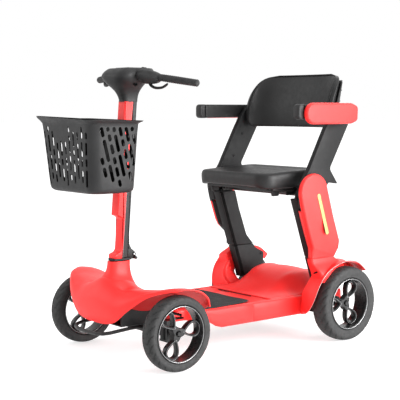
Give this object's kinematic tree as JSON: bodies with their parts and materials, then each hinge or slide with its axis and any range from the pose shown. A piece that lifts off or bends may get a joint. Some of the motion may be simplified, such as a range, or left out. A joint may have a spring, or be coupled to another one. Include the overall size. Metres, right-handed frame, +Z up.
{
  "type": "mobility scooter",
  "caption": "Folding mobility scooter with a moulded body, tilting tiller, slotted front basket, folding seat with a wrap-round backrest and flip-up armrests.",
  "frame": {"origin": "on the ground, at the middle of the footprint box", "axes": "+Z up, -Y the way the rider faces, +X the rider's left"},
  "size_m": [0.571, 1.022, 0.869],
  "materials": {
    "battery": "matt",
    "black_frame": "satin powder coat",
    "black_plastic": "matt moulded",
    "charcoal_plastic": "fine grained moulded",
    "display": "gloss",
    "grip_rubber": "knurled",
    "light": "diffusing",
    "liner_red": "matt moulded",
    "red_shell": "satin gloss moulded",
    "rim": "satin coat",
    "rubber": "ribbed",
    "seat_skin": "soft moulded skin",
    "steel": "brushed",
    "tyre": "matt rubber"
  },
  "bodies": {
    "chassis": {"chassis_frame": "black_frame", "head_tube": "black_frame", "bumper_bar": "black_frame", "front_fairing": "red_shell", "arch_liner_left": "liner_red", "arch_liner_right": "liner_red", "deck_shell": "red_shell", "floor_mat": "rubber", "battery_pack": "battery", "rear_body_shell": "red_shell", "drive_axle": "black_frame", "wheel_cover_left": "red_shell", "wheel_cover_right": "red_shell", "foot_bracket_left": "black_frame", "foot_bracket_right": "black_frame"},
    "steering": {"steering_stem": "steel", "tilt_pin": "steel"},
    "tiller": {"tiller_front_casing": "red_shell", "tiller_rear_cover": "charcoal_plastic", "latch_spring": "steel", "basket_bracket": "black_plastic", "control_head": "charcoal_plastic", "display_panel": "display", "handlebar": "steel", "grip_left": "grip_rubber", "grip_right": "grip_rubber"},
    "latch_lever": {"latch_lever": "steel"},
    "power_button": {"power_button": "steel"},
    "horn_button": {"horn_button": "red_shell"},
    "speed_dial": {"speed_dial": "black_plastic"},
    "basket": {"basket": "charcoal_plastic"},
    "tie_rod": {"tie_rod": "black_frame"},
    "legs": {"leg_cover_left": "red_shell", "leg_cover_right": "red_shell", "light_strip_left": "light", "light_strip_right": "light", "leg_strut_left": "black_frame", "leg_strut_right": "black_frame"},
    "seat": {"seat_pan": "black_frame", "seat_cushion": "seat_skin"},
    "backrest": {"side_arm_left": "black_frame", "side_arm_right": "black_frame", "backrest_pad": "seat_skin", "backrest_shell": "black_plastic"},
    "finger_lever_left": {"finger_lever_left": "black_plastic"},
    "knuckle_left": {"knuckle_left": "black_frame"},
    "front_wheel_left": {"front_tyre_left": "tyre", "front_rim_left": "rim"},
    "rear_wheel_left": {"rear_tyre_left": "tyre", "rear_rim_left": "rim"},
    "armrest_left": {"armrest_left": "black_plastic", "armrest_cover_left": "red_shell"},
    "finger_lever_right": {"finger_lever_right": "black_plastic"},
    "knuckle_right": {"knuckle_right": "black_frame"},
    "front_wheel_right": {"front_tyre_right": "tyre", "front_rim_right": "rim"},
    "rear_wheel_right": {"rear_tyre_right": "tyre", "rear_rim_right": "rim"},
    "armrest_right": {"armrest_right": "black_plastic", "armrest_cover_right": "red_shell"}
  },
  "joints": [
    {"name": "steer", "type": "hinge", "parent": "chassis", "child": "steering", "pos_m": [0, -0.32045, 0.2], "axis": [0, 0.0854, 0.9963], "range_deg": [-20, 20]},
    {"name": "tiller_tilt", "type": "hinge", "parent": "steering", "child": "tiller", "pos_m": [0, -0.2675, 0.3115], "axis": [-1, 0, 0], "range_deg": [0, 40]},
    {"name": "kingpin_left", "type": "hinge", "parent": "chassis", "child": "knuckle_left", "pos_m": [0.19, -0.283, 0.11], "axis": [0, 0, 1], "range_deg": [-20, 20]},
    {"name": "front_wheel_spin_left", "type": "hinge", "parent": "knuckle_left", "child": "front_wheel_left", "pos_m": [0.2465, -0.283, 0.11], "axis": [1, 0, 0], "continuous": true},
    {"name": "kingpin_right", "type": "hinge", "parent": "chassis", "child": "knuckle_right", "pos_m": [-0.19, -0.283, 0.11], "axis": [0, 0, 1], "range_deg": [-20, 20]},
    {"name": "front_wheel_spin_right", "type": "hinge", "parent": "knuckle_right", "child": "front_wheel_right", "pos_m": [-0.2465, -0.283, 0.11], "axis": [1, 0, 0], "continuous": true},
    {"name": "tie_rod_shift", "type": "slide", "parent": "chassis", "child": "tie_rod", "axis": [1, 0, 0], "range_m": [-0.0215, 0.0215]},
    {"name": "rear_wheel_spin_left", "type": "hinge", "parent": "chassis", "child": "rear_wheel_left", "pos_m": [0.2547, 0.391, 0.12], "axis": [1, 0, 0], "continuous": true},
    {"name": "rear_wheel_spin_right", "type": "hinge", "parent": "chassis", "child": "rear_wheel_right", "pos_m": [-0.2547, 0.391, 0.12], "axis": [1, 0, 0], "continuous": true},
    {"name": "latch_lever_pull", "type": "hinge", "parent": "tiller", "child": "latch_lever", "pos_m": [0, -0.257, 0.347], "axis": [-1, 0, 0], "range_deg": [-14, 0], "stiffness_Nm_per_rad": 0.5},
    {"name": "basket_lift", "type": "slide", "parent": "tiller", "child": "basket", "axis": [0, 0.0611, 0.9981], "range_m": [0, 0.06]},
    {"name": "finger_lever_pull_left", "type": "hinge", "parent": "tiller", "child": "finger_lever_left", "pos_m": [0.10408, -0.26246, 0.82246], "axis": [0, 0, 1], "range_deg": [0, 12], "stiffness_Nm_per_rad": 0.12},
    {"name": "finger_lever_pull_right", "type": "hinge", "parent": "tiller", "child": "finger_lever_right", "pos_m": [-0.10408, -0.26246, 0.82246], "axis": [0, 0, -1], "range_deg": [0, 12], "stiffness_Nm_per_rad": 0.12},
    {"name": "power_press", "type": "slide", "parent": "tiller", "child": "power_button", "axis": [0, 0, -1], "range_m": [0, 0.0018], "stiffness_N_per_m": 400},
    {"name": "horn_press", "type": "slide", "parent": "tiller", "child": "horn_button", "axis": [0, 0, -1], "range_m": [0, 0.0018], "stiffness_N_per_m": 400},
    {"name": "speed_dial_turn", "type": "hinge", "parent": "tiller", "child": "speed_dial", "pos_m": [0.024, -0.234, 0.8565], "axis": [0, 0, 1], "range_deg": [-135, 135]},
    {"name": "seat_fold", "type": "hinge", "parent": "chassis", "child": "legs", "pos_m": [0, 0.2645, 0.27], "axis": [-1, 0, 0], "range_deg": [-70, 0]},
    {"name": "seat_level", "type": "hinge", "parent": "legs", "child": "seat", "pos_m": [0, 0.2735, 0.482], "axis": [-1, 0, 0], "range_deg": [0, 70]},
    {"name": "back_fold", "type": "hinge", "parent": "seat", "child": "backrest", "pos_m": [0, 0.2735, 0.482], "axis": [-1, 0, 0], "range_deg": [-70, 0]},
    {"name": "armrest_flip_left", "type": "hinge", "parent": "backrest", "child": "armrest_left", "pos_m": [0.242, 0.399, 0.728], "axis": [-1, 0, 0], "range_deg": [0, 80]},
    {"name": "armrest_flip_right", "type": "hinge", "parent": "backrest", "child": "armrest_right", "pos_m": [-0.242, 0.399, 0.728], "axis": [-1, 0, 0], "range_deg": [0, 80]}
  ],
  "couplings": [
    {"joint": "kingpin_left", "follows": "steer", "ratio": 1},
    {"joint": "kingpin_right", "follows": "steer", "ratio": 1},
    {"joint": "tie_rod_shift", "follows": "steer", "m_per_rad": -0.059},
    {"joint": "seat_level", "follows": "seat_fold", "ratio": -1}
  ]
}
